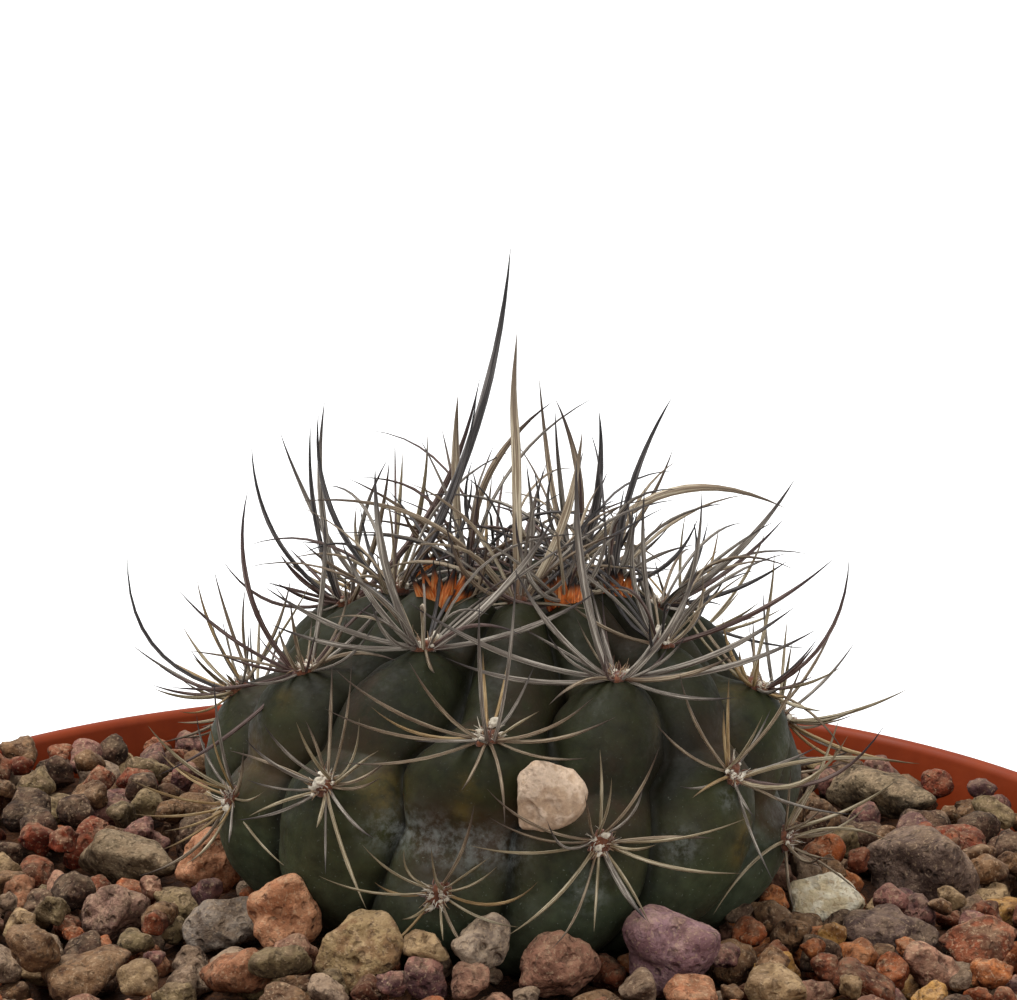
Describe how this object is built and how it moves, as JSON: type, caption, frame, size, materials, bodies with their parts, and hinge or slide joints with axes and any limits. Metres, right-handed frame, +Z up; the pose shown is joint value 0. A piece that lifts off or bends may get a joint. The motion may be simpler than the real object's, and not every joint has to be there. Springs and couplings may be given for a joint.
{
  "type": "potted neoporteria huascensis cactus",
  "caption": "Low round ribbed cactus with long curved spines, set in coarse gravel in a round terracotta-coloured plastic pot that stands on its foot ring.",
  "frame": {"origin": "on the axis of the pot, in the plane of its foot ring: the bottom centre of the whole object's box", "axes": "+Z up along the pot's axis, -Y towards the side seen in the picture, +X to the right of that side"},
  "size_m": [0.12, 0.12, 0.1443],
  "materials": {
    "pot": "fine satin, terracotta-coloured",
    "soil": "rough, crumbly",
    "gravel": "rough mixed stones, grey, beige, pink and red-brown",
    "cactus": "waxy dark olive skin with purplish chins, grey-brown horny spines, white wool",
    "stone_mauve": "rough stone",
    "stone_red_pink": "rough stone",
    "stone_pitted": "rough pitted stone",
    "stone_olive": "rough stone",
    "stone_orange": "rough stone",
    "stone_salmon": "rough stone",
    "stone_blue_grey": "rough stone",
    "stone_dusty": "rough stone",
    "stone_slate": "rough stone",
    "stone_dark": "rough speckled stone",
    "stone_long_green": "rough stone",
    "stone_long_blue": "rough stone",
    "stone_lodged": "rough pale stone"
  },
  "bodies": {
    "root": {"pot": "pot", "soil": "soil", "gravel": "gravel", "cactus": "cactus", "stone_mauve": "stone_mauve", "stone_red_pink": "stone_red_pink", "stone_pitted": "stone_pitted", "stone_olive": "stone_olive", "stone_orange": "stone_orange", "stone_salmon": "stone_salmon", "stone_blue_grey": "stone_blue_grey", "stone_dusty": "stone_dusty", "stone_slate": "stone_slate", "stone_dark": "stone_dark", "stone_long_green": "stone_long_green", "stone_long_blue": "stone_long_blue", "stone_lodged": "stone_lodged"}
  },
  "joints": []
}
